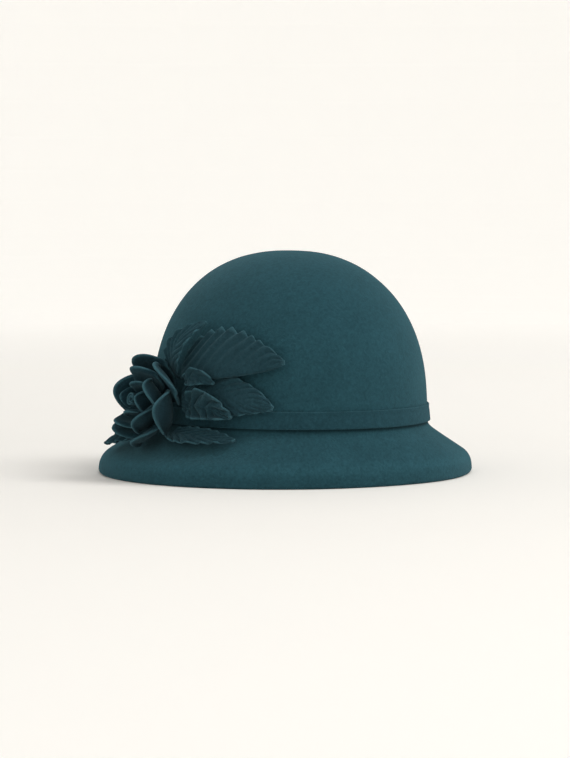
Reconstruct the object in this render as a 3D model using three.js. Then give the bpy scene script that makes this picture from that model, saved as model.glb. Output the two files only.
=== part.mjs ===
// A felt cloche hat, in millimetres, +Z up. The front faces -Y and the wearer's right is -X.
// The hat rests on the turned-under edge of its brim, on z = 0.
// Crown, brim and hem are one blocked felt. A band of the same felt goes round the crown, and
// a felt flower with pleated leaves sits over the band's ends on the wearer's right.

import * as THREE from 'three';

const gap = 0.35;
const felt = { body: 2.5, petal: 1.5, leaf: 1.7, colour: 0x2f4f5a, roughness: 0.95 };

// Crown: half-sizes of the oval at the brim break, and the powers that round the dome.
const crown = { halfWidth: 88, halfLength: 100, height: 110, centreY: -4.5, fall: 2.45, round: 2.27 };

// Brim: reach beyond the crown at the rim, the height of the break and of the crest above z = 0.
const brim = { side: 36, front: 14, back: 23, breakZ: 35, crestZ: 11.3, crestIn: 0.6, edge: 1.2 };
const bend = { break: 2.6, crest: 7.2 };
const hem = { depth: 12, extra: 2, step: 0.8 };

// Band: a strip that stands off the crown a little more at its lower edge.
const band = { height: 11, rise: 0.3, thickness: 1.8, proud: 0.6, mouth: 1.2 };

// The flower's place on the crown: angle from the front, height above the break, axis tilted up.
const flower = { angle: -83.5, rise: 11, lift: 2.6, tilt: 13 };

// Each ring of petals: root is its distance from the axis, low its height over the crown, and
// it leans from one angle at the root to another at the tip.
const petalRings = [
  { name: 'outer', count: 6, turn: -10, root: 5.4, low: 2.8, lean: 10, tipLean: 92, length: 35, width: 30 },
  { name: 'middle', count: 5, turn: 24, root: 5, low: 8.4, lean: 30, tipLean: 95, length: 28, width: 23 },
  { name: 'inner', count: 4, turn: 0, root: 4.8, low: 14.2, lean: 56, tipLean: 102, length: 18, width: 13 },
];
// The swirl comes in over the root's share of a petal's length.
const petalShape = {
  rootWidth: 0.11, widest: 0.6, tipWidth: 0.5, tipRound: 0.2, swirl: 4.6, rootShare: 0.24, curl: 0.7,
};

const bud = [
  { radius: 2.8, height: 0.3 },
  { radius: 2.8, height: 13 },
  { radius: 4.2, height: 19 },
  { radius: 4.4, height: 25 },
  { radius: 3, height: 29 },
];
const budDome = 0.8;

// Leaves, laid out on the hat's surface from the flower's centre: x runs forward round the
// crown, y up it. Three points steer the midrib, and sides are the half widths above and below
// it. lift is the height over the felt at the root, in the middle and at the tip, and drop is
// how much lower the upper edge lies than the midrib.
const leaves = [
  { name: 'front_upper', midrib: [[14, 19], [54, 19], [84, 29]], sides: [30, 2], lift: [6, 8, 4], drop: 3.8 },
  { name: 'front', midrib: [[17, 5], [50, 13], [80, 2]], sides: [14, 13], lift: [6, 6, 5], drop: 3 },
  { name: 'ruffled', midrib: [[27, 2], [40, 4], [56, -4]], sides: [10, 8], lift: [9, 11, 9] },
  { name: 'curled', midrib: [[24, 17], [33, 22], [44, 16]], sides: [5, 5], lift: [11, 12, 10] },
  { name: 'top', midrib: [[6, 19], [13, 35], [26, 53]], sides: [8, 7], lift: [2.3, 14.6, 7.5] },
  { name: 'brim_front', midrib: [[18, -24], [44, -29], [68, -27]], sides: [9, 8], lift: [6, 6, 4] },
  { name: 'brim_back', midrib: [[-9, -29], [-22, -36], [-38, -45]], sides: [12, 12], lift: [7, 9, 7] },
  { name: 'back', midrib: [[-16, 9], [-48, 22], [-72, 13]], sides: [15, 13], lift: [6, 6, 3], drop: 2 },
];
// A leaf is stiff, so it bridges bends shorter than its span. start and end are how far along a
// whole leaf its root and its blunt tip are cut.
const leafShape = {
  span: 8, start: 0.05, end: 0.97, scallop: 0.06, ribs: 5, pleat: 0.6, sweep: 0.3, taper: 0.7,
};

// How light each kind of piece is, as a share of the body's felt.
const shades = { body: 1, band: 0.85, bud: 0.7, petal: 0.75, leaf: 0.8 };

const steps = { around: 44, crown: 10, curve: 4, fine: 60, bud: 10, petal: [5, 3], leaf: [10, 3] };

// A small step along a surface, to find its direction.
const nudge = 0.01;

const degrees = THREE.MathUtils.degToRad;
const mix = THREE.MathUtils.lerp;
const smooth = THREE.MathUtils.smoothstep;

// ---- the hat's outline ----

// The outline seen from the side, from the top of the dome down to the brim's edge.
function crownLine(rows) {
  const points = [];
  for (let i = 0; i <= rows; i++) {
    const q = (Math.PI / 2) * (1 - i / rows);
    const out = Math.max(0, Math.cos(q)) ** (2 / crown.round);
    const up = Math.sin(q) ** (2 / crown.fall);
    points.push(new THREE.Vector2(crown.halfWidth * out, brim.breakZ + crown.height * up));
  }
  return points;
}

function brimLine(rows) {
  const breakAt = new THREE.Vector2(crown.halfWidth + 0.2, brim.breakZ - bend.break);
  const crest = new THREE.Vector2(crown.halfWidth + brim.side - brim.crestIn, brim.crestZ);
  const edge = new THREE.Vector2(crown.halfWidth + brim.side, brim.edge);
  const slope = crest.clone().sub(breakAt).normalize();
  const fall = edge.clone().sub(crest).normalize();
  const afterBreak = breakAt.clone().addScaledVector(slope, 2 * bend.break);
  const beforeCrest = crest.clone().addScaledVector(slope, -bend.crest);
  const afterCrest = crest.clone().addScaledVector(fall, bend.crest);
  const line = new THREE.Path().moveTo(crown.halfWidth, brim.breakZ);
  line.quadraticCurveTo(breakAt.x, breakAt.y, afterBreak.x, afterBreak.y);
  line.lineTo(mix(afterBreak.x, beforeCrest.x, 0.5), mix(afterBreak.y, beforeCrest.y, 0.5));
  line.lineTo(beforeCrest.x, beforeCrest.y);
  line.quadraticCurveTo(crest.x, crest.y, afterCrest.x, afterCrest.y);
  line.lineTo(edge.x, edge.y);
  return line.getPoints(rows).slice(1);
}

// The oval through a point of the side outline: rounder on the crown, longer on the brim.
function oval(x) {
  const k = Math.max(0, x - crown.halfWidth) / brim.side;
  const reach = (brim.front + brim.back) / 2;
  return {
    halfWidth: x,
    halfLength: (Math.min(x, crown.halfWidth) * crown.halfLength) / crown.halfWidth + k * reach,
    centreY: crown.centreY + (k * (brim.back - brim.front)) / 2,
  };
}

function onOval(point, turn) {
  const { halfWidth, halfLength, centreY } = oval(point.x);
  return new THREE.Vector3(halfWidth * Math.sin(turn), centreY - halfLength * Math.cos(turn), point.y);
}

// Each point of a line with the line's direction there.
function rowsOf(line) {
  return line.map((point, i) => {
    const before = line[Math.max(i - 1, 0)];
    const after = line[Math.min(i + 1, line.length - 1)];
    return { point, along: after.clone().sub(before).normalize() };
  });
}

const outline = [...crownLine(steps.fine), ...brimLine(steps.fine / 4)];
const outlineCurve = new THREE.SplineCurve(outline);
outlineCurve.arcLengthDivisions = 800;
const breakLength = new THREE.SplineCurve(crownLine(steps.fine)).getLength();
const brimLength = outlineCurve.getLength() - breakLength;

// The outline at a distance up it from the break, or down it if negative.
function outlineAt(rise) {
  const share = THREE.MathUtils.clamp((breakLength - rise) / outlineCurve.getLength(), 0, 1);
  return { point: outlineCurve.getPointAt(share), along: outlineCurve.getTangentAt(share) };
}

// The same for a stiff piece that bridges the bends shorter than its span.
function bridgeAt(rise, span) {
  const [above, here, below] = [span, 0, -span].map((step) => outlineAt(rise + step).point);
  const point = here.clone().multiplyScalar(2).add(above).add(below).divideScalar(4);
  return { point, along: below.clone().sub(above).normalize() };
}

// A point on the oval through a row of the outline, lifted square to the felt there.
function overOval({ point, along }, turn, lift) {
  const place = onOval(point, turn);
  const round = onOval(point, turn + nudge).sub(onOval(point, turn - nudge));
  const down = onOval(point.clone().add(along), turn).sub(place);
  return place.addScaledVector(down.cross(round).normalize(), lift);
}

// A point over the hat's felt: the angle from the front, the distance up the outline from the
// break and the height above the felt.
function overHat(turn, rise, lift) {
  return overOval(outlineAt(rise), turn, lift);
}

function ring(row, lift) {
  const loop = [];
  for (let i = 0; i < steps.around; i++) loop.push(overOval(row, (2 * Math.PI * i) / steps.around, lift));
  return loop;
}

// ---- solids ----

// A closed skin over a row of loops. An end loop of one point is a pole, and any other end is
// closed by a ladder of faces between its two long sides.
function skin(loops) {
  const positions = [];
  const starts = loops.map((loop) => {
    const start = positions.length / 3;
    for (const point of loop) positions.push(point.x, point.y, point.z);
    return start;
  });
  const faces = [];
  const quad = (a, b, c, d) => faces.push(a, b, c, a, c, d);
  for (let k = 0; k + 1 < loops.length; k++) {
    const count = Math.max(loops[k].length, loops[k + 1].length);
    for (let i = 0; i < count; i++) {
      const j = (i + 1) % count;
      const [low, high] = [starts[k], starts[k + 1]];
      if (loops[k].length === 1) faces.push(low, high + j, high + i);
      else if (loops[k + 1].length === 1) faces.push(low + i, low + j, high);
      else quad(low + i, low + j, high + j, high + i);
    }
  }
  for (const end of [0, loops.length - 1]) {
    const count = loops[end].length;
    for (let i = 0; i + 1 < count / 2; i++) {
      const corners = [i, i + 1, count - 2 - i, count - 1 - i].map((c) => starts[end] + c);
      if (end === 0) corners.reverse();
      quad(...corners);
    }
  }
  const geometry = new THREE.BufferGeometry();
  geometry.setAttribute('position', new THREE.Float32BufferAttribute(positions, 3));
  geometry.setIndex(volume(positions, faces) < 0 ? faces.reverse() : faces);
  geometry.computeVertexNormals();
  return geometry;
}

function volume(positions, faces) {
  const corner = (i) => new THREE.Vector3().fromArray(positions, 3 * faces[i]);
  let total = 0;
  for (let i = 0; i < faces.length; i += 3) {
    total += corner(i).dot(corner(i + 1).cross(corner(i + 2))) / 6;
  }
  return total;
}

// A sheet of felt: surface(along, across) gives its middle, with along from 0 to 1 and across
// from -1 to 1, and half its thickness is added to each side.
function sheet(surface, thickness, [rows, half]) {
  const loops = [];
  for (let i = 0; i <= rows; i++) {
    const front = [];
    const back = [];
    for (let j = -half; j <= half; j++) {
      const [along, across] = [i / rows, j / half];
      const middle = surface(along, across);
      const forward = surface(along + nudge, across).sub(surface(along - nudge, across));
      const sideways = surface(along, across + nudge).sub(surface(along, across - nudge));
      const face = forward.cross(sideways).normalize();
      front.push(middle.clone().addScaledVector(face, thickness / 2));
      back.unshift(middle.clone().addScaledVector(face, -thickness / 2));
    }
    loops.push([...front, ...back]);
  }
  return skin(loops);
}

const hat = new THREE.Group();

function addPiece(name, geometry, shade) {
  const color = new THREE.Color(felt.colour).multiplyScalar(shade);
  const material = new THREE.MeshStandardMaterial({ color, roughness: felt.roughness, metalness: 0 });
  const mesh = new THREE.Mesh(geometry, material);
  mesh.name = name;
  hat.add(mesh);
}

// ---- crown, brim and hem: one blocked felt ----

function feltBody() {
  const outside = rowsOf([...crownLine(steps.crown), ...brimLine(steps.curve)]);
  const down = new THREE.Vector2(0, -1);
  const edge = { point: outside.at(-1).point, along: down };
  const sole = { point: edge.point.clone().setY(0), along: down };
  const hemTop = outlineAt(hem.depth - brimLength);
  const hemStep = outlineAt(hem.depth + hem.step - brimLength);
  const doubled = felt.body + hem.extra;
  const inHem = outside.slice(0, -1).filter(({ point }) => point.y < hemTop.point.y - 1);
  const aboveHem = outside.slice(1).filter(({ point }) => point.y > hemStep.point.y + 1);
  const loops = [
    ...outside.slice(1).map((row) => ring(row, 0)),
    ring(sole, -brim.edge),
    ring(sole, brim.edge - doubled),
    ring(edge, -doubled),
    ...inHem.reverse().map((row) => ring(row, -doubled)),
    ring(hemTop, -doubled),
    ring(hemStep, -felt.body),
    ...aboveHem.reverse().map((row) => ring(row, -felt.body)),
  ];
  const top = brim.breakZ + crown.height;
  const poles = [top, top - felt.body].map((z) => [new THREE.Vector3(0, crown.centreY, z)]);
  return skin([poles[0], ...loops, poles[1]]);
}

// ---- band: an open strip whose ends meet under the flower ----

function crownBand() {
  const loops = [];
  const start = degrees(flower.angle) + band.mouth / 2 / crown.halfLength;
  const sweep = 2 * Math.PI - band.mouth / crown.halfLength;
  for (let i = 0; i <= steps.around; i++) {
    const turn = start + (sweep * i) / steps.around;
    const levels = [0, 0.5, 1];
    const line = (thickness) => levels.map((level) => {
      const off = gap + band.proud * (1 - level) + thickness;
      return overHat(turn, band.rise + band.height * level, off);
    });
    loops.push([...line(0), ...line(band.thickness).reverse()]);
  }
  return skin(loops);
}

// ---- flower ----

// The flower's own frame: its centre over the crown, its axis, and two directions square to it.
const flowerTurn = degrees(flower.angle);
const flowerCentre = overHat(flowerTurn, flower.rise, flower.lift);
const outward = new THREE.Vector3(Math.sin(flowerTurn), -Math.cos(flowerTurn), 0);
const tilt = degrees(flower.tilt);
const flowerAxis = outward.clone().multiplyScalar(Math.cos(tilt)).setZ(Math.sin(tilt));
const flowerSide = new THREE.Vector3(0, 0, 1).cross(flowerAxis).normalize();
const flowerUp = flowerAxis.clone().cross(flowerSide);

function inFlower(angle, radius, height) {
  return flowerCentre
    .clone()
    .addScaledVector(flowerSide, radius * Math.cos(angle))
    .addScaledVector(flowerUp, radius * Math.sin(angle))
    .addScaledVector(flowerAxis, height);
}

// A petal lies on a bowl round the axis. It swirls: one edge passes under its neighbour.
function petalSurface(ring, number) {
  const pitch = (2 * Math.PI) / ring.count;
  const middle = degrees(ring.turn) + pitch * number;
  const [lean, tipLean] = [degrees(ring.lean), degrees(ring.tipLean)];
  const turning = (tipLean - lean) / ring.length;
  return (along, across) => {
    const rounding = petalShape.tipRound * across ** 2 * along ** 2;
    const travel = ring.length * (along - rounding);
    const angle = lean + turning * travel;
    const rise = Math.sin(Math.PI * 0.5 * Math.min(1, along / petalShape.widest));
    const tail = Math.max(0, along - petalShape.widest) / (1 - petalShape.widest);
    const spread = mix(petalShape.rootWidth, 1, rise) * mix(1, petalShape.tipWidth, tail ** 2);
    const reach = ring.root + (Math.sin(angle) - Math.sin(lean)) / turning;
    const height = ring.low - (Math.cos(angle) - Math.cos(lean)) / turning;
    const turn = (across * spread * ring.width) / 2 / reach;
    const swirl = petalShape.swirl * smooth(along, 0, petalShape.rootShare) * (turn / pitch);
    const curl = petalShape.curl * along * across ** 2;
    const off = swirl - curl;
    return inFlower(middle + turn, reach - off * Math.sin(angle), height + off * Math.cos(angle));
  };
}

function flowerBud() {
  const loops = bud.map(({ radius, height }) => {
    const loop = [];
    for (let i = 0; i < steps.bud; i++) loop.push(inFlower((2 * Math.PI * i) / steps.bud, radius, height));
    return loop;
  });
  const ends = [bud[0].height, bud.at(-1).height + budDome].map((height) => [inFlower(0, 0, height)]);
  return skin([ends[0], ...loops, ends[1]]);
}

// ---- leaves ----

// A leaf follows the hat's surface. Its ribs run out from the midrib to a scalloped edge.
function leafSurface({ midrib: [root, knee, tip], sides, lift: [low, high, end], drop = 0 }) {
  const points = [root, knee, tip].map(([x, y]) => new THREE.Vector2(x, y));
  const midrib = new THREE.QuadraticBezierCurve(...points);
  return (along, across) => {
    const at = THREE.MathUtils.clamp(along, 0, 1);
    const tangent = midrib.getTangent(at);
    const beyond = (along - at) * midrib.getLength();
    const centre = midrib.getPoint(at).addScaledVector(tangent, beyond);
    const wave = Math.cos(2 * Math.PI * leafShape.ribs * (along - leafShape.sweep * Math.abs(across)));
    const share = Math.min(mix(leafShape.start, 1, at), leafShape.end);
    const fullness = Math.sin(Math.PI * share ** leafShape.taper) ** leafShape.taper;
    const edge = 1 + leafShape.scallop * wave * across ** 2;
    const spread = sides[across > 0 ? 0 : 1] * fullness * edge * across;
    const x = centre.x - tangent.y * spread;
    const y = centre.y + tangent.x * spread;
    const rise = flower.rise + y;
    const { halfWidth, halfLength } = oval(outlineAt(rise).point.x);
    const turn = flowerTurn + (2 * x) / (halfWidth + halfLength);
    const arch = 4 * (high - (low + end) / 2) * at * (1 - at);
    const upper = Math.max(across, 0);
    const relief = leafShape.pleat * wave * Math.abs(across) - drop * fullness * upper ** 2;
    return overOval(bridgeAt(rise, leafShape.span), turn, mix(low, end, at) + arch + relief);
  };
}

addPiece('felt_body', feltBody(), shades.body);
addPiece('hat_band', crownBand(), shades.band);
addPiece('flower_bud', flowerBud(), shades.bud);
for (const ring of petalRings) {
  for (let i = 0; i < ring.count; i++) {
    const geometry = sheet(petalSurface(ring, i), felt.petal, steps.petal);
    addPiece(`petal_${ring.name}_${i + 1}`, geometry, shades.petal);
  }
}
for (const leaf of leaves) {
  addPiece(`leaf_${leaf.name}`, sheet(leafSurface(leaf), felt.leaf, steps.leaf), shades.leaf);
}

// The origin is under the middle of the whole hat's box.
const box = new THREE.Box3().setFromObject(hat);
hat.position.set(-(box.min.x + box.max.x) / 2, -(box.min.y + box.max.y) / 2, -box.min.z);

export default hat;
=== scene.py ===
"""A felt cloche hat with a felt band, a felt flower and pleated leaves, laid out as a Blender add-on."""
import bisect
import math
from collections import namedtuple

import bmesh
import bpy
from bpy.props import FloatProperty, FloatVectorProperty, PointerProperty
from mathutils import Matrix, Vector, noise


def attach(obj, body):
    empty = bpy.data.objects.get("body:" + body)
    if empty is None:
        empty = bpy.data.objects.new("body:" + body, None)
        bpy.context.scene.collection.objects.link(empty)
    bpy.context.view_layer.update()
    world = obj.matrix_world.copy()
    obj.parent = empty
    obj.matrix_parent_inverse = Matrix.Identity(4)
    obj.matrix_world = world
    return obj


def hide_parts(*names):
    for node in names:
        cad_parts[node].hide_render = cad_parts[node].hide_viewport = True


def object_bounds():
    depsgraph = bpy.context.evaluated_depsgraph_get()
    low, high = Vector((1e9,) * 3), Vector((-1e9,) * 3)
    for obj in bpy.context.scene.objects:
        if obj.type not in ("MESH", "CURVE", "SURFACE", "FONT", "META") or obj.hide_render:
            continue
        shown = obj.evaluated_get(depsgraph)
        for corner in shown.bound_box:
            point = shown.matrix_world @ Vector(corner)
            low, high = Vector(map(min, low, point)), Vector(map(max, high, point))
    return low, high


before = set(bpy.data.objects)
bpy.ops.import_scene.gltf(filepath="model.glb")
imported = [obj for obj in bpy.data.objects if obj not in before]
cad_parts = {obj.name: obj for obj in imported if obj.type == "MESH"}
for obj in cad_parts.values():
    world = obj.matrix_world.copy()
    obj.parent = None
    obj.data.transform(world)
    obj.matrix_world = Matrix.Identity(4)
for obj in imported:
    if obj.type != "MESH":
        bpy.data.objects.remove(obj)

bl_info = {
    "name": "Felt Cloche Hat",
    "version": (1, 0, 0),
    "blender": (4, 5, 0),
    "location": "3D View > Sidebar > Cloche",
    "description": "Builds a blocked felt cloche with a band, a felt flower and pleated leaves",
    "category": "Add Mesh",
}

CAD_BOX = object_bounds()
MM = 0.001


# ---- sizes and colours ----


def length(name, millimetres, description):
    return FloatProperty(name=name, default=millimetres * MM, unit="LENGTH", description=description)


def angle(name, degrees, description):
    return FloatProperty(name=name, default=math.radians(degrees), unit="ROTATION", description=description)


def plain(name, number, description):
    return FloatProperty(name=name, default=number, description=description)


def colour(name, red, green, blue, description):
    return FloatVectorProperty(
        name=name, default=(red, green, blue), size=3, min=0, max=1, subtype="COLOR", description=description
    )


class ClocheBlock(bpy.types.PropertyGroup):
    """The blocked felt: crown, brim and turned-under edge."""

    crown_half_width: length("Crown half width", 88, "Half the crown's oval across, where the brim starts")
    crown_half_length: length("Crown half length", 100, "Half the crown's oval from front to back")
    crown_height: length("Crown height", 110, "From the break to the top of the dome")
    centre_x: length("Centre X", 0.676, "The crown's middle, to the wearer's left of the origin")
    centre_y: length("Centre Y", -4.5, "The crown's middle, behind the origin if positive")
    dome_fall: plain("Dome fall", 2.45, "How full the dome's shoulder is in height")
    dome_round: plain("Dome round", 2.27, "How full the dome's shoulder is in width")
    brim_side: length("Brim at the sides", 36, "Reach of the rim beyond the crown at the sides")
    brim_front: length("Brim at the front", 14, "Reach of the rim beyond the crown at the front")
    brim_back: length("Brim at the back", 23, "Reach of the rim beyond the crown at the back")
    break_height: length("Break height", 35, "Height at which crown turns into brim")
    crest_height: length("Crest height", 11.3, "Height at which the brim turns down into its lip")
    crest_in: length("Crest set in", 0.6, "How far the crest stays inside the rim")
    edge_height: length("Edge height", 1.2, "Height at which the lip's side outline ends")
    break_bend: length("Break bend", 2.6, "Size of the bend between crown and brim")
    crest_bend: length("Crest bend", 7.2, "Size of the bend over the crest")
    felt: length("Felt thickness", 2.2, "Thickness of one layer of felt")
    fold: length("Folded edge", 4.5, "Thickness of the two layers at the edge")
    hem: length("Turned-under depth", 12, "How far the edge goes back up inside the brim")
    unevenness: length("Unevenness", 0.45, "How far the felt strays from the block")
    brim_wave: length("Brim wave", 0.9, "How far the brim's crest rises and falls")


class ClocheBand(bpy.types.PropertyGroup):
    """The felt band round the crown."""

    height: length("Height", 11, "Width of the strip")
    rise: length("Rise", 0.3, "From the break up to the band's lower edge")
    gap: length("Gap", 0.15, "Room between the band and the crown")
    felt: length("Felt thickness", 1.0, "Thickness of the strip")
    proud: length("Lower edge stands proud", 0.8, "How much further off the lower edge is than the upper one")
    crease: length("Crease depth", 0.2, "Depth of the pressed line under the upper edge")
    mouth: length("Mouth", 1.2, "Gap between the band's two ends, under the flower")


class ClocheFlower(bpy.types.PropertyGroup):
    """The felt flower's place and its petals' felt."""

    turn: angle("Turn", -83.5, "Place round the crown, from the front")
    rise: length("Rise", 11, "Height of its centre over the break")
    lift: length("Lift", 2.6, "Height of its centre over the felt")
    tilt: angle("Tilt", 13, "How far its axis points up")
    felt: length("Felt thickness", 1.7, "Thickness of a petal")
    rim_roll: angle("Rim roll", 34, "How far a petal's rim rolls outwards")
    swirl: length("Swirl", 4.6, "How much higher one side of a petal lies than the other")
    curl: length("Curl", 2.0, "How far a petal's sides turn back")


class ClocheLeaves(bpy.types.PropertyGroup):
    """The pleated leaves' felt."""

    felt: length("Felt thickness", 1.35, "Thickness of a leaf")
    rib_pitch: length("Rib pitch", 8, "Distance from one pressed rib to the next")
    span: length("Span", 8, "Bends in the hat shorter than this are bridged, as the leaf is stiff")
    fold_radius: length("Fold radius", 0.8, "Bend of the felt where a leaf's edge is turned under")
    pleat: length("Pleat", 0.95, "Height of the ribs at the leaf's edge")
    scallop: plain("Scallop", 0.06, "Depth of the scallops, as a share of the half width")
    irregular: plain("Irregularity", 0.45, "How far ribs stray, in ribs")
    sweep: plain("Sweep", 0.34, "How far the ribs run towards the tip, as a share of its length")


class ClocheColours(bpy.types.PropertyGroup):
    """Colours of the felts and of the studio."""

    hat: colour("Hat felt", 0.0165, 0.0565, 0.073, "Crown and brim")
    band: colour("Band felt", 0.0145, 0.048, 0.063, "Band")
    petal: colour("Petal felt", 0.0092, 0.0275, 0.037, "Petals and bud")
    leaf: colour("Leaf felt", 0.0140, 0.040, 0.052, "Leaves")
    # Pale edge colour: partly scuffed nap, partly a painted highlight along the rims of cut felt.
    worn: colour("Worn felt", 0.05, 0.13, 0.16, "Rims and cut edges, where the nap is rubbed")
    paper: colour("Backdrop", 0.87, 0.855, 0.825, "Floor and backdrop")


# The felt strays from its block in coarse and in fine swells, and the brim's wave comes in over
# WAVE_REACH below the break. The scales are in swells per metre.
COARSE_SCALE, FINE_SCALE, FINE_SHARE = 17, 60, 0.3
WAVE_SCALE, WAVE_SEED, WAVE_REACH = 14, 3.0, 20 * MM

BREAK_OUT = 0.2 * MM  # how far outside the crown the corner of the break is
FELT_SPAN = 1.2 * MM  # felt follows a bend in the hat that is longer than this
NEARBY = 0.01  # how far to either side of a point its slope is measured
NOTHING = 1e-12  # a cross product shorter than this has no direction

# Petals in a ring share a size. turn is the first one's place round the flower's axis, root is how
# far from the axis they start and low is how far along it, and they lean from one angle at the root
# to another at the tip. Lengths are in millimetres and angles in degrees.
PetalRing = namedtuple("PetalRing", "name count turn root low lean tip_lean length width")
PETAL_RINGS = (
    PetalRing("outer", 6, -10, 5.4, 2.8, 10, 92, 35, 30),
    PetalRing("middle", 5, 24, 5.0, 8.4, 30, 95, 28, 23),
    PetalRing("inner", 4, 0, 4.8, 14.2, 56, 102, 18, 13),
)
# Places along a petal, and its widths, are shares of its length and of its full width.
PETAL_ROOT_WIDTH, PETAL_TIP_WIDTH = 0.1, 0.84
PETAL_WIDEST = 0.6  # where it has its full width
PETAL_TIP_ROUND = 0.4  # how far the corners of its tip are rounded back
SWIRL_REACH = 0.19  # where the swirl has its full height
ROLL_START, ROLL_ARM = 0.8, 0.12  # where the rim starts to roll, and the length that rolls
RUFFLE, RUFFLE_ACROSS, RUFFLE_ALONG = 0.9 * MM, 1.3, 1.6  # height of the ruffles, and their scales
PETAL_SEEDS = (7.3, 3.1, 0.5)  # these set the ruffles of one petal apart from the next
PETAL_SHADE_TURN = 2.4  # this sets one petal's shade apart from the next one's

# Each leaf is laid out on the hat's surface from the flower's centre, in millimetres: x runs
# forward round the crown and y up it. The three points of midrib steer it from root to tip, and
# sides are its half widths to the left and right, looking that way. lift is the midrib's height
# over the felt at the root, in the middle and at the tip, and drop is how much lower the left edge
# lies. fold is the width of felt turned under in place of a right half, curl is how far the edges
# turn up, and crimp scales the ribs.
Leaf = namedtuple("Leaf", "name midrib sides lift drop fold curl crimp")
LEAVES = (
    Leaf("front_upper", ((14, 19), (54, 19), (84, 29)), (30, 2), (6, 8, 4), 3.8, 3.5, 0, 1.0),
    Leaf("front", ((17, 5), (50, 13), (80, 2)), (14, 13), (6, 6, 5), 3.4, 0, 0, 1.0),
    Leaf("ruffled", ((27, 2), (40, 4), (56, -4)), (10, 8), (9, 11, 9), 0, 0, 5.0, 2.6),
    Leaf("curled", ((24, 17), (33, 22), (44, 16)), (5, 5), (11, 12, 10), 0, 0, 2.8, 0.8),
    Leaf("top", ((6, 19), (13, 35), (26, 53)), (8, 7), (2.3, 14.6, 7.5), 0, 0, 0.8, 0.9),
    Leaf("brim_front", ((18, -24), (44, -29), (68, -27)), (9, 8), (5, 6, 4), 0, 0, 0.6, 1.2),
    Leaf("brim_back", ((-9, -29), (-22, -36), (-38, -45)), (12, 12), (7, 9, 7), 0, 0, 0.8, 1.4),
    Leaf("back", ((-16, 9), (-48, 22), (-72, 13)), (15, 13), (6, 6, 3), 2, 0, 0.4, 1.1),
)
LEAF_START, LEAF_END = 0.05, 0.987  # where the outline is cut off, so that both ends have a width
LEAF_TAPER = 0.7  # a lower value makes a leaf fuller, and widest nearer its root
FEWEST_RIBS = 3
RIB_REACH = 0.55  # with a lower value the ribs rise nearer the midrib
RIB_CREST = 0.12  # how much sharper than a plain wave a rib is
STRAY_ALONG, STRAY_ACROSS, STRAY_SEED = 4, 0.8, 1.7  # scales of the ribs' straying, and its seed
LEAF_SHADE_TURN = 1.9  # this sets one leaf's shade apart from the next one's

# Each felt's paler edge, partly scuffed nap and partly a painted highlight along the rims, has a width, as a
# share of the piece, and is paler by a share of the way to the worn colour.
Felt = namedtuple("Felt", "name edge_width edge_paler cloudiness")
FELTS = (
    Felt("hat", 0, 0, 0.36),
    Felt("band", 0.05, 0.35, 0.36),
    Felt("petal", 0.08, 0.6, 0.4),
    Felt("leaf", 0.05, 0.45, 0.4),
)
FELT_FINISH = {
    "Roughness": 0.92,
    "Specular IOR Level": 0.0,
    "Sheen Weight": 0.13,
    "Sheen Roughness": 0.55,
    "Sheen Tint": (0.45, 0.78, 0.9, 1),
}

# Each light's place round the hat is in degrees and metres, its width in metres and its power in watts.
Light = namedtuple("Light", "name azimuth elevation distance width power tint")
LIGHTS = (
    Light("key", 48, 50, 2.6, 1.2, 34, (1, 0.985, 0.96)),
    Light("fill", -70, 22, 3.0, 2.0, 1, (0.95, 0.98, 1)),
    Light("top", 10, 85, 2.4, 1.8, 10, (1, 1, 1)),
)
SKY, SKY_STRENGTH = (0.98, 0.985, 1, 1), 0.3


# ---- the hat's form ----


def mix(low, high, share):
    return low + (high - low) * share


def smooth(share):
    share = min(max(share, 0.0), 1.0)
    return share * share * (3 - 2 * share)


def hump(distance, width):
    """1 at no distance, and next to nothing at two widths."""
    return math.exp(-((distance / width) ** 2))


def varied(turn, spread):
    """How light one of several like pieces is, from a turn that differs between them."""
    return 1 + spread * math.sin(turn)


def bend(start, corner, end, steps):
    """Points of a quadratic curve from start to end, steered by corner."""
    points = []
    for i in range(1, steps + 1):
        t = i / steps
        points.append(start * (1 - t) ** 2 + corner * 2 * t * (1 - t) + end * t * t)
    return points


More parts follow.
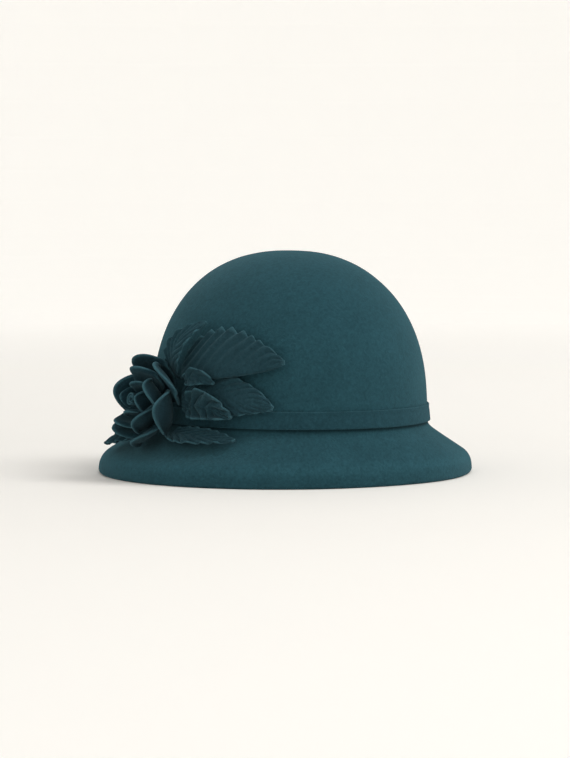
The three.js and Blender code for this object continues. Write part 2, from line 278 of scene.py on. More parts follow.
class HatForm:
    """The outer face of the blocked felt: a side outline, and an oval through each point of it."""

    def __init__(self, block):
        self.block = block
        crown = self._crown_outline()
        self.points = crown + self._brim_outline()
        self.runs = [0.0]
        for here, after in zip(self.points, self.points[1:]):
            self.runs.append(self.runs[-1] + (after - here).length)
        self.crown_length = self.runs[len(crown) - 1]
        self.brim_length = self.runs[-1] - self.crown_length
        self.crest_rise = -(self.brim_length - (block.crest_height - block.edge_height))

    def _crown_outline(self, steps=240):
        block = self.block
        points = []
        for i in range(steps + 1):
            up = (math.pi / 2) * (1 - i / steps)
            out = max(0.0, math.cos(up)) ** (2 / block.dome_round)
            high = math.sin(up) ** (2 / block.dome_fall) if i < steps else 0.0
            x, y = block.crown_half_width * out, block.break_height + block.crown_height * high
            points.append(Vector((x, y)))
        return points

    def _brim_outline(self):
        block = self.block
        rim = block.crown_half_width + block.brim_side
        corner = Vector((block.crown_half_width + BREAK_OUT, block.break_height - block.break_bend))
        crest = Vector((rim - block.crest_in, block.crest_height))
        edge = Vector((rim, block.edge_height))
        slope, fall = (crest - corner).normalized(), (edge - crest).normalized()
        start = Vector((block.crown_half_width, block.break_height))
        after_break = corner + slope * 2 * block.break_bend
        before_crest, after_crest = crest - slope * block.crest_bend, crest + fall * block.crest_bend
        line = bend(start, corner, after_break, steps=12)
        line += bend(after_break, after_break.lerp(before_crest, 0.5), before_crest, steps=20)
        line += bend(before_crest, crest, after_crest, steps=24)
        return line + [edge]

    def outline(self, rise):
        """The side outline's point at a distance up from the break, or down from it if negative."""
        run = min(max(self.crown_length - rise, 0.0), self.runs[-1])
        i = min(max(bisect.bisect_right(self.runs, run), 1), len(self.runs) - 1)
        share = (run - self.runs[i - 1]) / (self.runs[i] - self.runs[i - 1])
        return self.points[i - 1].lerp(self.points[i], share)

    def half_sizes(self, rise):
        return self._oval(self.outline(rise).x)[:2]

    def _oval(self, half_width):
        block = self.block
        out = max(0.0, half_width - block.crown_half_width) / block.brim_side
        scale = block.crown_half_length / block.crown_half_width
        half_length = min(half_width, block.crown_half_width) * scale
        half_length += out * (block.brim_front + block.brim_back) / 2
        return half_width, half_length, block.centre_y + out * (block.brim_back - block.brim_front) / 2

    def _on_oval(self, point, turn):
        half_width, half_length, centre_y = self._oval(point.x)
        x = self.block.centre_x + half_width * math.sin(turn)
        return Vector((x, centre_y - half_length * math.cos(turn), point.y))

    def place(self, turn, rise, lift=0.0, span=FELT_SPAN):
        """A point over the felt: turn from the front towards the wearer's left, lift square to the felt.
        A stiff piece bridges the bends that are shorter than its span."""
        above, middle, below = (self.outline(rise + step) for step in (span, 0, -span))
        if span > FELT_SPAN:
            middle = (above + middle * 2 + below) / 4
        over = self._on_oval(middle, turn)
        down = self._on_oval(below, turn) - self._on_oval(above, turn)
        sideways = self._on_oval(middle, turn + NEARBY) - self._on_oval(middle, turn - NEARBY)
        out = down.cross(sideways)
        out = out.normalized() if out.length > NOTHING else Vector((0, 0, 1))
        uneven = noise.noise(over * COARSE_SCALE) + FINE_SHARE * noise.noise(over * FINE_SCALE)
        swell = noise.noise(Vector((over.x * WAVE_SCALE, over.y * WAVE_SCALE, WAVE_SEED)))
        wave = smooth(-rise / WAVE_REACH) * self.block.brim_wave * swell
        return over + out * (lift + self.block.unevenness * uneven + wave)


# ---- making pieces ----


def only(piece):
    """Leaves one object selected and active."""
    bpy.ops.object.select_all(action="DESELECT")
    piece.select_set(True)
    bpy.context.view_layer.objects.active = piece


def start_grid(name, across, along):
    """A flat grid, one unit square, that a sheet of felt is shaped from."""
    bpy.ops.object.select_all(action="DESELECT")
    bpy.ops.mesh.primitive_grid_add(x_subdivisions=across, y_subdivisions=along, size=1, location=(0, 0, 0))
    piece = bpy.context.active_object
    piece.name = piece.data.name = name
    return piece


def apply_modifier(piece, kind, **settings):
    modifier = piece.modifiers.new(kind.title(), kind)
    for key, value in settings.items():
        setattr(modifier, key, value)
    only(piece)
    bpy.ops.object.modifier_apply(modifier=modifier.name)


def thicken(piece, thickness, offset=0.0):
    """Gives a sheet its felt's thickness and softens its cut edges."""
    apply_modifier(piece, "SOLIDIFY", thickness=thickness, offset=offset)
    apply_modifier(piece, "SUBSURF", levels=1, render_levels=1)
    bpy.ops.object.shade_smooth()


def cut_sheet(name, place, thickness, across, along, offset=0.0):
    """A sheet of felt. place(u, v) gives a point of it, u across and v along it, each from 0 to 1."""
    piece = start_grid(name, across, along)
    for vertex in piece.data.vertices:
        vertex.co = place(vertex.co.x + 0.5, vertex.co.y + 0.5)
    thicken(piece, thickness, offset)
    only(piece)
    bpy.ops.object.mode_set(mode="EDIT")
    bpy.ops.mesh.select_all(action="SELECT")
    bpy.ops.mesh.normals_make_consistent(inside=False)
    bpy.ops.object.mode_set(mode="OBJECT")
    return piece


def settle(piece, node, slot, tone):
    """Puts a finished piece in the frame, with its felt. tone(point) is how light it is there."""
    shade = piece.data.attributes.new("tone", "FLOAT", "POINT")
    shade.data.foreach_set("value", [tone(vertex.co) for vertex in piece.data.vertices])
    piece.data.materials.clear()
    piece.data.materials.append(bpy.data.materials[f"{slot}_nap"])
    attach(piece, "root")
    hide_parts(node)


def average(function, steps=24):
    return sum(function((i + 0.5) / steps) for i in range(steps)) / steps


# ---- felts ----


def add_socket(tree, name, in_out, kind, value=None):
    socket = tree.interface.new_socket(name=name, in_out=in_out, socket_type=kind)
    if value is not None:
        socket.default_value = value


def node(tree, kind, inputs=None, **settings):
    made = tree.nodes.new(kind)
    for key, value in settings.items():
        setattr(made, key, value)
    for key, value in (inputs or {}).items():
        if isinstance(value, bpy.types.NodeSocket):
            tree.links.new(value, made.inputs[key])
        else:
            made.inputs[key].default_value = value
    return made


def math_node(tree, operation, first, second, clamp=False):
    made = node(tree, "ShaderNodeMath", {0: first, 1: second}, operation=operation, use_clamp=clamp)
    return made.outputs[0]


def lightened(tree, tint, times):
    """A colour times a number that changes over the surface."""
    return node(tree, "ShaderNodeVectorMath", {0: tint, "Scale": times}, operation="SCALE").outputs[0]


def felt_nap_group():
    """Pressed wool: a cloudy shade with fine fibres, and the height of its fibres and hairs."""
    tree = bpy.data.node_groups.new("Felt nap", "ShaderNodeTree")
    add_socket(tree, "Colour", "INPUT", "NodeSocketColor", (0.03, 0.08, 0.1, 1))
    add_socket(tree, "Cloudiness", "INPUT", "NodeSocketFloat", 0.45)
    add_socket(tree, "Fibres", "INPUT", "NodeSocketFloat", 0.7)
    add_socket(tree, "Hairs", "INPUT", "NodeSocketFloat", 0.35)
    add_socket(tree, "Colour", "OUTPUT", "NodeSocketColor")
    add_socket(tree, "Height", "OUTPUT", "NodeSocketFloat")
    asked = tree.nodes.new("NodeGroupInput")
    given = tree.nodes.new("NodeGroupOutput")
    place = tree.nodes.new("ShaderNodeTexCoord").outputs["Object"]
    clouds = node(
        tree, "ShaderNodeTexNoise", {"Vector": place, "Scale": 38.0, "Detail": 4.0, "Roughness": 0.6}
    )
    fine = node(
        tree, "ShaderNodeTexNoise", {"Vector": place, "Scale": 520.0, "Detail": 5.0, "Roughness": 0.68}
    )
    warp = node(
        tree, "ShaderNodeTexNoise", {"Vector": place, "Scale": 260.0, "Detail": 2.0, "Distortion": 2.4}
    )
    hairs = node(tree, "ShaderNodeTexVoronoi", {"Vector": place, "Scale": 900.0, "Randomness": 1.0})
    cloud = math_node(tree, "SUBTRACT", clouds.outputs["Fac"], 0.5)
    cloud = math_node(tree, "MULTIPLY", cloud, asked.outputs["Cloudiness"])
    fibre = math_node(tree, "ADD", fine.outputs["Fac"], warp.outputs["Fac"])
    fibre = math_node(tree, "SUBTRACT", fibre, 1.0)
    speck = math_node(tree, "MULTIPLY", fibre, asked.outputs["Fibres"])
    light = math_node(tree, "ADD", math_node(tree, "ADD", cloud, speck), 1.0)
    height = math_node(tree, "MULTIPLY", hairs.outputs["Distance"], asked.outputs["Hairs"])
    height = math_node(tree, "ADD", fibre, height)
    tree.links.new(lightened(tree, asked.outputs["Colour"], light), given.inputs["Colour"])
    tree.links.new(height, given.inputs["Height"])


def cut_edge_group():
    """How near a point is to the cut edge of its sheet, by the sheet's own flat layout."""
    tree = bpy.data.node_groups.new("Cut edge", "ShaderNodeTree")
    add_socket(tree, "Width", "INPUT", "NodeSocketFloat", 0.06)
    add_socket(tree, "Raggedness", "INPUT", "NodeSocketFloat", 0.5)
    add_socket(tree, "Fade", "INPUT", "NodeSocketFloat", 1.5)
    add_socket(tree, "Mask", "OUTPUT", "NodeSocketFloat")
    asked = tree.nodes.new("NodeGroupInput")
    given = tree.nodes.new("NodeGroupOutput")
    coordinates = tree.nodes.new("ShaderNodeTexCoord")
    flat = node(tree, "ShaderNodeSeparateXYZ", {0: coordinates.outputs["UV"]})
    nearest = None
    for axis in ("X", "Y"):
        here = flat.outputs[axis]
        side = math_node(tree, "MINIMUM", here, math_node(tree, "SUBTRACT", 1.0, here))
        nearest = side if nearest is None else math_node(tree, "MINIMUM", nearest, side)
    rag = node(
        tree, "ShaderNodeTexNoise", {"Vector": coordinates.outputs["Object"], "Scale": 300.0, "Detail": 3.0}
    )
    ragged = math_node(tree, "SUBTRACT", rag.outputs["Fac"], 0.5)
    ragged = math_node(tree, "MULTIPLY", ragged, asked.outputs["Raggedness"])
    ragged = math_node(tree, "MULTIPLY", math_node(tree, "ADD", ragged, 1.0), asked.outputs["Width"])
    share = math_node(tree, "DIVIDE", nearest, ragged)
    mask = math_node(tree, "SUBTRACT", 1.0, share, clamp=True)
    tree.links.new(math_node(tree, "POWER", mask, asked.outputs["Fade"]), given.inputs["Mask"])


def felt_material(felt, base, worn):
    """Matte wool felt. A sheet's cut edges are paler: partly scuffed nap, partly a painted highlight along
    the rims.
    """
    material = bpy.data.materials.new(f"{felt.name}_felt_nap")
    material.use_nodes = True
    tree = material.node_tree
    shader = tree.nodes["Principled BSDF"]
    nap = node(tree, "ShaderNodeGroup", node_tree=bpy.data.node_groups["Felt nap"])
    nap.inputs["Cloudiness"].default_value = felt.cloudiness
    tone = node(tree, "ShaderNodeAttribute", attribute_name="tone")
    toned = lightened(tree, tuple(base), tone.outputs["Fac"])
    if felt.edge_width:
        edge = node(tree, "ShaderNodeGroup", node_tree=bpy.data.node_groups["Cut edge"])
        edge.inputs["Width"].default_value = felt.edge_width
        share = math_node(tree, "MULTIPLY", edge.outputs["Mask"], felt.edge_paler)
        # Painted highlight, with some scuffed nap, along the sheet's cut edges.
        rubbed_and_highlit = node(tree, "ShaderNodeMix", {"Factor": share, 6: toned, 7: (*worn, 1)}, data_type="RGBA")
        toned = rubbed_and_highlit.outputs[2]
    tree.links.new(toned, nap.inputs["Colour"])
    bump = node(
        tree, "ShaderNodeBump", {"Height": nap.outputs["Height"], "Strength": 0.5, "Distance": 0.25 * MM}
    )
    tree.links.new(nap.outputs["Colour"], shader.inputs["Base Color"])
    tree.links.new(bump.outputs["Normal"], shader.inputs["Normal"])
    for name, value in FELT_FINISH.items():
        shader.inputs[name].default_value = value


class CLOCHE_OT_felts(bpy.types.Operator):
    """Makes the felts that the pieces are cut from"""

    bl_idname = "cloche.felts"
    bl_label = "Felts"

    def execute(self, context):
        colours = context.scene.cloche_colours
        felt_nap_group()
        cut_edge_group()
        for felt in FELTS:
            felt_material(felt, getattr(colours, felt.name), colours.worn)
        return {"FINISHED"}


# ---- crown, brim and folded edge ----


class CLOCHE_OT_shell(bpy.types.Operator):
    """Blocks the crown and brim from one felt and turns its edge under"""

    bl_idname = "cloche.shell"
    bl_label = "Crown and brim"

    cap: length("Cap", 34, "How far down the outline the first square of felt reaches")
    fine: length("Fine step", 1.7, "Row height at the bends")
    coarse: length("Coarse step", 5.5, "Row height elsewhere")
    # Painted highlight: how much paler the felt is painted over the crest, where light catches the brim's
    # turn.
    worn_crest: plain("Worn crest", 0.2, "How much paler the nap is over the crest")
    # Painted shadow: how much darker the felt is painted in the crease under the band, and, on the next line,
    # how far below the break that painted shadow is darkest.
    dark_crease: plain("Dark crease", 0.6, "How much darker it is under the band")
    crease_drop: length("Crease drop", 0.5, "How far below the break it is darkest")

    def rows(self, form, fold):
        """Each row's rise, lift and drop: down the outside, round the fold and up inside."""
        fine_reach, coarse_reach = 6 * MM, 20 * MM
        fold_rows, hem_rows = 6, 7
        rows = []
        rise = form.crown_length - self.cap
        bottom = -form.brim_length + fold - form.block.edge_height
        while rise > bottom:
            near = min(abs(rise), abs(rise - form.crest_rise))
            rise -= mix(self.fine, self.coarse, smooth((near - fine_reach) / coarse_reach))
            rows.append((max(rise, bottom), 0.0, 0.0))
        for i in range(1, fold_rows + 1):
            round_edge = math.pi * i / fold_rows
            rows.append((bottom, -fold * (1 - math.cos(round_edge)), -fold * math.sin(round_edge)))
        for i in range(1, hem_rows + 1):
            rows.append((bottom + form.block.hem * i / hem_rows, -2 * fold, 0.0))
        return rows

    def tone(self, block):
        """Painted light on the felt: a painted highlight over the crest, and a painted shadow in the crease
        under the band.
        """
        crest_width, crease_width = 4 * MM, 1.1 * MM

        def at(point):
            # Painted highlight over the crest.
            crest = hump(point.z - block.crest_height, crest_width)
            # Painted shadow in the crease under the band's lower edge.
            crease = hump(point.z - block.break_height + self.crease_drop, crease_width)
            return 1 + self.worn_crest * crest - self.dark_crease * crease

        return at

    def execute(self, context):
        block = context.scene.cloche_block
        form = HatForm(block)
        shell = start_grid("hat_shell", across=20, along=20)
        turns = shell.data.attributes.new("turn", "FLOAT", "POINT")
        for vertex in shell.data.vertices:
            u, v = vertex.co.x * 2, vertex.co.y * 2
            # The square is rounded into a disc.
            across, along = u * math.sqrt(1 - v * v / 2), v * math.sqrt(1 - u * u / 2)
            turn = math.atan2(across, -along)
            turns.data[vertex.index].value = turn
            vertex.co = form.place(turn, form.crown_length - self.cap * math.hypot(across, along))
        bpy.ops.object.mode_set(mode="EDIT")
        bpy.ops.mesh.select_mode(type="EDGE")
        bpy.ops.mesh.select_all(action="DESELECT")
        mesh = bmesh.from_edit_mesh(shell.data)
        for edge in mesh.edges:
            edge.select_set(edge.is_boundary)
        mesh.select_flush_mode()
        for rise, lift, drop in self.rows(form, block.fold / 2):
            bpy.ops.mesh.extrude_region_move()
            mesh = bmesh.from_edit_mesh(shell.data)
            turn = mesh.verts.layers.float["turn"]
            for vertex in mesh.verts:
                if vertex.select:
                    vertex.co = form.place(vertex[turn], rise, lift) + Vector((0, 0, drop))
            bmesh.update_edit_mesh(shell.data)
        bpy.ops.object.mode_set(mode="OBJECT")
        thicken(shell, block.felt, offset=-1.0)
        settle(shell, "felt_body", "hat_felt", self.tone(block))
        return {"FINISHED"}


# ---- band ----


class CLOCHE_OT_band(bpy.types.Operator):
    """Lays the felt band round the crown, with its ends under the flower"""

    bl_idname = "cloche.band"
    bl_label = "Band"

    def execute(self, context):
        band = context.scene.cloche_band
        form = HatForm(context.scene.cloche_block)
        half_width, half_length = form.half_sizes(band.rise)
        round_crown = 2 * math.pi - band.mouth / half_length
        start = context.scene.cloche_flower.turn + band.mouth / 2 / half_length
        crease_at, crease_width, flare = 0.74, 0.07, 1.5

        def place(u, v):
            crease = band.crease * hump(v - crease_at, crease_width)
            off = band.gap + band.proud * (1 - v) ** flare + band.felt - crease
            return form.place(start + round_crown * u, band.rise + band.height * v, off)

        strip = cut_sheet("band_strip", place, band.felt, across=150, along=12, offset=-1.0)
        settle(strip, "hat_band", "band_felt", lambda point: 1.0)
        return {"FINISHED"}


# ---- flower ----


class FlowerFrame:
    """The flower's centre over the crown, its axis, and two directions square to it."""

    def __init__(self, form, flower):
        outward = Vector((math.sin(flower.turn), -math.cos(flower.turn), 0))
        self.centre = form.place(flower.turn, flower.rise, flower.lift)
        self.axis = outward * math.cos(flower.tilt) + Vector((0, 0, math.sin(flower.tilt)))
        self.side = Vector((0, 0, 1)).cross(self.axis).normalized()
        self.up = self.axis.cross(self.side)

    def at(self, turn, radius, height):
        square = self.side * math.cos(turn) + self.up * math.sin(turn)
        return self.centre + square * radius + self.axis * height


def petal_spread(along):
    """A petal's width along it, as a share of its full width."""
    rise = math.sin(math.pi / 2 * min(1, along / PETAL_WIDEST))
    tail = max(0.0, along - PETAL_WIDEST) / (1 - PETAL_WIDEST)
    return mix(PETAL_ROOT_WIDTH, 1, rise) * mix(1, PETAL_TIP_WIDTH, tail**2)


def petal_place(frame_of_flower, flower, ring, number):
    """A petal lies on a bowl round the axis. It swirls: one edge passes under its neighbour."""
    pitch = 2 * math.pi / ring.count
    middle = math.radians(ring.turn) + pitch * number
    lean, tip_lean = math.radians(ring.lean), math.radians(ring.tip_lean)
    size = ring.length * MM
    turning = (tip_lean - lean) / size
    seed = Vector((number * PETAL_SEEDS[0], ring.count * PETAL_SEEDS[1], PETAL_SEEDS[2]))

    def place(u, v):
        across, along = 2 * u - 1, v
        travel = size * (along - PETAL_TIP_ROUND * across**2 * along**2)
        angle_here = lean + turning * travel
        reach = ring.root * MM + (math.sin(angle_here) - math.sin(lean)) / turning
        height = ring.low * MM - (math.cos(angle_here) - math.cos(lean)) / turning
        turn = across * petal_spread(along) * ring.width * MM / 2 / reach
        swirl = flower.swirl * smooth(along / SWIRL_REACH) * (turn / pitch)
        rolled = flower.rim_roll * size * ROLL_ARM * smooth((along - ROLL_START) / (1 - ROLL_START)) ** 2
        swell = noise.noise(seed + Vector((across * RUFFLE_ACROSS, along * RUFFLE_ALONG, 0)))
        ruffle = RUFFLE * along * swell
        off = swirl - flower.curl * along * across**2 - rolled + ruffle
        return frame_of_flower.at(
            middle + turn, reach - off * math.sin(angle_here), height + off * math.cos(angle_here)
        )

    return place


class CLOCHE_OT_petals(bpy.types.Operator):
    """Cuts the petals and sews them round the flower's axis in three rings"""

    bl_idname = "cloche.petals"
    bl_label = "Petals"

    def execute(self, context):
        flower = context.scene.cloche_flower
        frame_of_flower = FlowerFrame(HatForm(context.scene.cloche_block), flower)
        for ring in PETAL_RINGS:
            for number in range(ring.count):
                node_name = f"petal_{ring.name}_{number + 1}"
                place = petal_place(frame_of_flower, flower, ring, number)
                petal = cut_sheet(f"felt_{node_name}", place, flower.felt, across=14, along=16)
                shade = varied(number * PETAL_SHADE_TURN + ring.count, spread=0.12)
                settle(petal, node_name, "petal_felt", lambda point: shade)
                width, size = ring.width * MM, ring.length * MM
                width * size * average(petal_spread)
        return {"FINISHED"}


class CLOCHE_OT_bud(bpy.types.Operator):
    """Rolls a strip of felt into the flower's heart"""

    bl_idname = "cloche.bud"
    bl_label = "Bud"

    height: length("Height", 29.5, "Width of the strip that is rolled")
    inner: length("Inner radius", 1.1, "Where the roll starts")
    outer: length("Outer radius", 3.7, "Where the roll ends")
    turns: plain("Turns", 1.9, "How many times the strip goes round")
    felt: length("Felt thickness", 1.15, "Thickness of the strip")
    shade: plain("Shade", 0.85, "How light it is beside the petals")

    def execute(self, context):
        flower = context.scene.cloche_flower
        frame_of_flower = FlowerFrame(HatForm(context.scene.cloche_block), flower)
        tight, loose = 0.9, 1.12
        foot, sunk_heart = 0.4 * MM, 0.8 * MM

        def place(u, v):
            radius = mix(self.inner, self.outer, u) * mix(tight, loose, smooth(v))
            rise = self.height * v - sunk_heart * smooth(v) * (1 - u)
            return frame_of_flower.at(2 * math.pi * self.turns * u, radius, foot + rise)

        bud = cut_sheet("rolled_bud", place, self.felt, across=56, along=14)
        settle(bud, "flower_bud", "petal_felt", lambda point: self.shade)
        return {"FINISHED"}


# ---- leaves ----


def bezier(points, share):
    root, knee, tip = points
    return root * (1 - share) ** 2 + knee * 2 * share * (1 - share) + tip * share**2


def leaf_fullness(along):
    """A leaf's width along it, as a share of its full width."""
    share = min(mix(LEAF_START, 1, along), LEAF_END)
    return math.sin(math.pi * share**LEAF_TAPER) ** LEAF_TAPER


def turned_under(felt, radius):
    """Where felt that runs over a fold ends up: how far back, and how far down."""
    if felt < math.pi * radius:
        return -radius * math.sin(felt / radius), -radius * (1 - math.cos(felt / radius))
    return felt - math.pi * radius, -2 * radius


class LeafPattern:
    """One leaf: its flat size, and where each point of it goes on the hat."""

    def __init__(self, form, flower, leaves, leaf):
        self.form, self.flower, self.leaves, self.leaf = form, flower, leaves, leaf
        self.steer = [Vector(point) * MM for point in leaf.midrib]
        self.size = self.midrib_length()
        self.width = self.side_width(leaf.sides[0]) + self.side_width(max(leaf.sides[1], leaf.fold))
        self.ribs = max(FEWEST_RIBS, round(self.size / leaves.rib_pitch))

    def height(self, along):
        """The midrib's height over the felt."""
        low, high, end = (value * MM for value in self.leaf.lift)
        return mix(low, end, along) + 4 * (high - (low + end) / 2) * along * (1 - along)

    def midrib_length(self, steps=24):
        ends = [(bezier(self.steer, i / steps), self.height(i / steps)) for i in range(steps + 1)]
        return sum(math.hypot((b[0] - a[0]).length, b[1] - a[1]) for a, b in zip(ends, ends[1:]))

    def side_width(self, side):
        """A half's width once its edge is laid flat."""
        return average(lambda out: math.hypot(side, 2 * self.leaf.curl * out)) * MM

    def take_up(self):
        """How much longer the leaf is cut than it is once pleated."""
        per_length = 1 / self.size
        per_width = 2 * self.leaves.sweep / self.width
        steepness = math.hypot(per_length, per_width)
        slope = 2 * math.pi * self.leaves.pleat * self.leaf.crimp * self.ribs * steepness

        def let_out(out):
            """The take-up at one distance from the midrib, over a whole rib."""
            steepest = slope * out**RIB_REACH
            return average(lambda turn: math.hypot(1, steepest * math.sin(2 * math.pi * turn)))

        return average(let_out)

    def place(self, u, v):
        """Ribs run out from the midrib to a scalloped edge."""
        leaf, leaves, flower = self.leaf, self.leaves, self.flower
        across, along = 2 * u - 1, v
        out = abs(across)
        centre = bezier(self.steer, along)
        tangent = (bezier(self.steer, along + NEARBY) - bezier(self.steer, along - NEARBY)).normalized()
        spot = Vector((along * STRAY_ALONG + self.ribs * STRAY_SEED, across * STRAY_ACROSS, leaf.sides[0]))
        stray = leaves.irregular * noise.noise(spot)
        phase = 2 * math.pi * (self.ribs * (along - leaves.sweep * out) + stray)
        wave = math.cos(phase) + RIB_CREST * math.cos(3 * phase)
        fullness = leaf_fullness(along)
        scallop = leaves.scallop * math.cos(phase) * out**4
        spread = leaf.sides[across < 0] * MM * fullness * (1 + scallop) * across
        relief = leaves.pleat * leaf.crimp * wave * out**RIB_REACH + leaf.curl * MM * fullness * out**2
        if leaf.fold and across < 0:
            spread, relief = turned_under(out * leaf.fold * MM * fullness, leaves.fold_radius)
        elif across > 0:
            relief -= leaf.drop * MM * fullness * out**2
        x, y = centre.x - tangent.y * spread, centre.y + tangent.x * spread
        half_width, half_length = self.form.half_sizes(flower.rise + y)
        turn = flower.turn + 2 * x / (half_width + half_length)
        return self.form.place(turn, flower.rise + y, self.height(along) + relief, span=leaves.span)


class CLOCHE_OT_leaves(bpy.types.Operator):
    """Cuts, pleats and places the leaves round the flower"""

    bl_idname = "cloche.leaves"
    bl_label = "Leaves"

    def execute(self, context):
        leaves, flower = context.scene.cloche_leaves, context.scene.cloche_flower
        form = HatForm(context.scene.cloche_block)
        for number, leaf in enumerate(LEAVES):
            pattern = LeafPattern(form, flower, leaves, leaf)
            made = cut_sheet(f"pleated_leaf_{leaf.name}", pattern.place, leaves.felt, across=26, along=72)
            shade = varied(number * LEAF_SHADE_TURN, spread=0.1)
            settle(made, f"leaf_{leaf.name}", "leaf_felt", lambda point: shade)
            cut_length = pattern.size * pattern.take_up()
            pattern.width * cut_length * average(leaf_fullness)
        return {"FINISHED"}


# ---- stage ----


def aim(thing, target):
    thing.rotation_mode = "QUATERNION"
    thing.rotation_quaternion = (Vector(target) - thing.location).to_track_quat("-Z", "Y")


def around(azimuth, elevation, distance, centre):
    """A place seen from centre: azimuth 0 is in front of the hat, and positive is to its left."""
    turn, high = math.radians(azimuth), math.radians(elevation)
    level = distance * math.cos(high)
    away = Vector((level * math.sin(turn), -level * math.cos(turn), distance * math.sin(high)))
    return Vector(centre) + away


def distance_group():
    """A colour that comes up from black with the distance from the hat."""
    tree = bpy.data.node_groups.new("Distance", "ShaderNodeTree")
    add_socket(tree, "Colour", "INPUT", "NodeSocketColor", (1, 1, 1, 1))
    add_socket(tree, "Near", "INPUT", "NodeSocketFloat", 0.3)
    add_socket(tree, "Far", "INPUT", "NodeSocketFloat", 2.6)
    add_socket(tree, "Colour", "OUTPUT", "NodeSocketColor")
    asked = tree.nodes.new("NodeGroupInput")
    given = tree.nodes.new("NodeGroupOutput")
    place = tree.nodes.new("ShaderNodeTexCoord").outputs["Object"]
    far = node(tree, "ShaderNodeVectorMath", {0: place}, operation="LENGTH").outputs["Value"]
    limits = {"From Min": asked.outputs["Near"], "From Max": asked.outputs["Far"]}
    share = node(tree, "ShaderNodeMapRange", {"Value": far, **limits}).outputs[0]
    tree.links.new(lightened(tree, asked.outputs["Colour"], share), given.inputs["Colour"])
    return tree


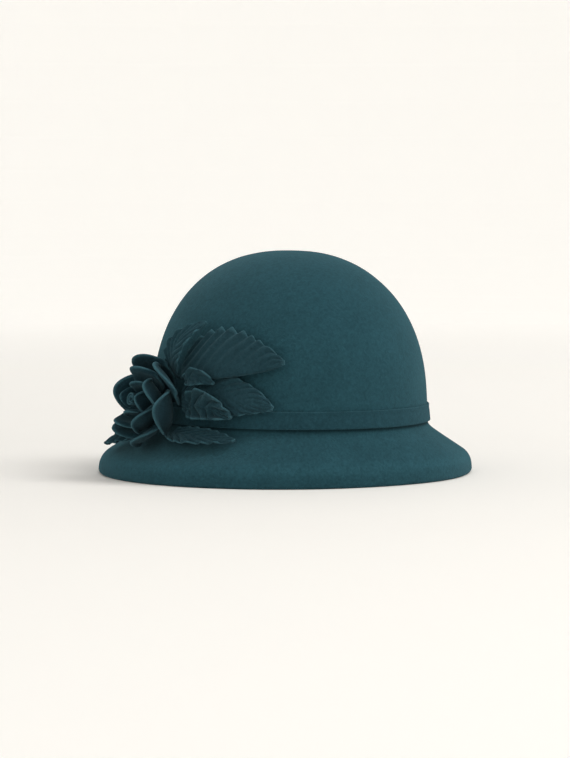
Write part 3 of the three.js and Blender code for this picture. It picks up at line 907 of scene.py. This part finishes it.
class CLOCHE_OT_stage(bpy.types.Operator):
    """Sets the pale floor and backdrop, the soft lights and the camera"""

    bl_idname = "cloche.stage"
    bl_label = "Stage"

    azimuth: plain("Azimuth", -26.0, "Camera's place round the hat, in degrees")
    elevation: plain("Elevation", 3.0, "Camera's height over the hat's middle, in degrees")
    distance: length("Distance", 1550, "Camera to the hat")
    aim_drop: length("Aim drop", 12, "How far under the hat's middle the camera looks")
    lens: plain("Lens", 112.0, "Focal length in millimetres")
    floor_radius: length("Floor", 2400, "Radius of the flat floor")
    sweep: length("Sweep", 2200, "Radius of the curve round the floor")
    glow: plain("Glow", 0.36, "Light that the far backdrop gives by itself")

    def backdrop(self, colours):
        """A round floor that curves up into a wall, well away from the hat."""
        bpy.ops.object.select_all(action="DESELECT")
        bpy.ops.mesh.primitive_circle_add(
            vertices=128, radius=self.floor_radius, fill_type="TRIFAN", location=(0, 0, 0)
        )
        floor = bpy.context.active_object
        floor.name = "studio_cove"
        bpy.ops.object.mode_set(mode="EDIT")
        bpy.ops.mesh.select_mode(type="EDGE")
        bpy.ops.mesh.select_all(action="DESELECT")
        mesh = bmesh.from_edit_mesh(floor.data)
        for edge in mesh.edges:
            edge.select_set(edge.is_boundary)
        radius, steps = self.floor_radius, 24
        for i in range(1, steps + 1):
            turn, before = math.pi / 2 * i / steps, math.pi / 2 * (i - 1) / steps
            bpy.ops.mesh.extrude_region_move(
                TRANSFORM_OT_translate={"value": (0, 0, self.sweep * (math.cos(before) - math.cos(turn)))}
            )
            wider = (self.floor_radius + self.sweep * math.sin(turn)) / radius
            bpy.ops.transform.resize(value=(wider, wider, 1), center_override=(0, 0, 0))
            radius *= wider
        bpy.ops.mesh.extrude_region_move(TRANSFORM_OT_translate={"value": (0, 0, self.sweep)})
        bpy.ops.object.mode_set(mode="OBJECT")
        paper = bpy.data.materials.new("paper")
        paper.use_nodes = True
        shader = paper.node_tree.nodes["Principled BSDF"]
        shader.inputs["Base Color"].default_value = (*colours.paper, 1)
        shader.inputs["Roughness"].default_value = 0.9
        shader.inputs["Emission Strength"].default_value = self.glow
        distant = node(paper.node_tree, "ShaderNodeGroup", node_tree=distance_group())
        distant.inputs["Colour"].default_value = (*colours.paper, 1)
        paper.node_tree.links.new(distant.outputs["Colour"], shader.inputs["Emission Color"])
        floor.data.materials.append(paper)

    def add_light(self, light, centre):
        bpy.ops.object.select_all(action="DESELECT")
        place = around(light.azimuth, light.elevation, light.distance, centre)
        bpy.ops.object.light_add(type="AREA", location=place)
        lamp = bpy.context.active_object
        lamp.name = light.name
        lamp.data.size, lamp.data.energy, lamp.data.color = light.width, light.power, light.tint
        aim(lamp, centre)

    def execute(self, context):
        centre = (CAD_BOX[0] + CAD_BOX[1]) / 2
        self.backdrop(context.scene.cloche_colours)
        for light in LIGHTS:
            self.add_light(light, centre)
        world = bpy.data.worlds.new("studio")
        world.use_nodes = True
        background = world.node_tree.nodes["Background"]
        background.inputs["Color"].default_value = SKY
        background.inputs["Strength"].default_value = SKY_STRENGTH
        context.scene.world = world
        context.scene.view_settings.view_transform = "Standard"
        bpy.ops.object.camera_add(location=around(self.azimuth, self.elevation, self.distance, centre))
        camera = bpy.context.active_object
        camera.data.lens = self.lens
        aim(camera, centre - Vector((0, 0, self.aim_drop)))
        context.scene.camera = camera
        return {"FINISHED"}


# ---- panel and registration ----


STEPS = ("felts", "shell", "band", "bud", "petals", "leaves", "stage")
GROUPS = {
    "cloche_block": ClocheBlock,
    "cloche_band": ClocheBand,
    "cloche_flower": ClocheFlower,
    "cloche_leaves": ClocheLeaves,
    "cloche_colours": ClocheColours,
}


class CLOCHE_PT_panel(bpy.types.Panel):
    """Lists the hat's pieces and their sizes"""

    bl_label = "Cloche"
    bl_idname = "CLOCHE_PT_panel"
    bl_space_type = "VIEW_3D"
    bl_region_type = "UI"
    bl_category = "Cloche"

    def draw(self, context):
        for step in STEPS:
            self.layout.operator(f"cloche.{step}")
        for group, kind in GROUPS.items():
            box = self.layout.box()
            box.label(text=kind.__doc__)
            for name in kind.__annotations__:
                box.prop(getattr(context.scene, group), name)


CLASSES = (
    *GROUPS.values(),
    CLOCHE_OT_felts,
    CLOCHE_OT_shell,
    CLOCHE_OT_band,
    CLOCHE_OT_bud,
    CLOCHE_OT_petals,
    CLOCHE_OT_leaves,
    CLOCHE_OT_stage,
    CLOCHE_PT_panel,
)


def register():
    for kind in CLASSES:
        bpy.utils.register_class(kind)
    for group, kind in GROUPS.items():
        setattr(bpy.types.Scene, group, PointerProperty(type=kind))


def unregister():
    for group in GROUPS:
        delattr(bpy.types.Scene, group)
    for kind in reversed(CLASSES):
        bpy.utils.unregister_class(kind)


def main():
    register()
    for step in STEPS:
        getattr(bpy.ops.cloche, step)()


if __name__ == "__main__":
    main()
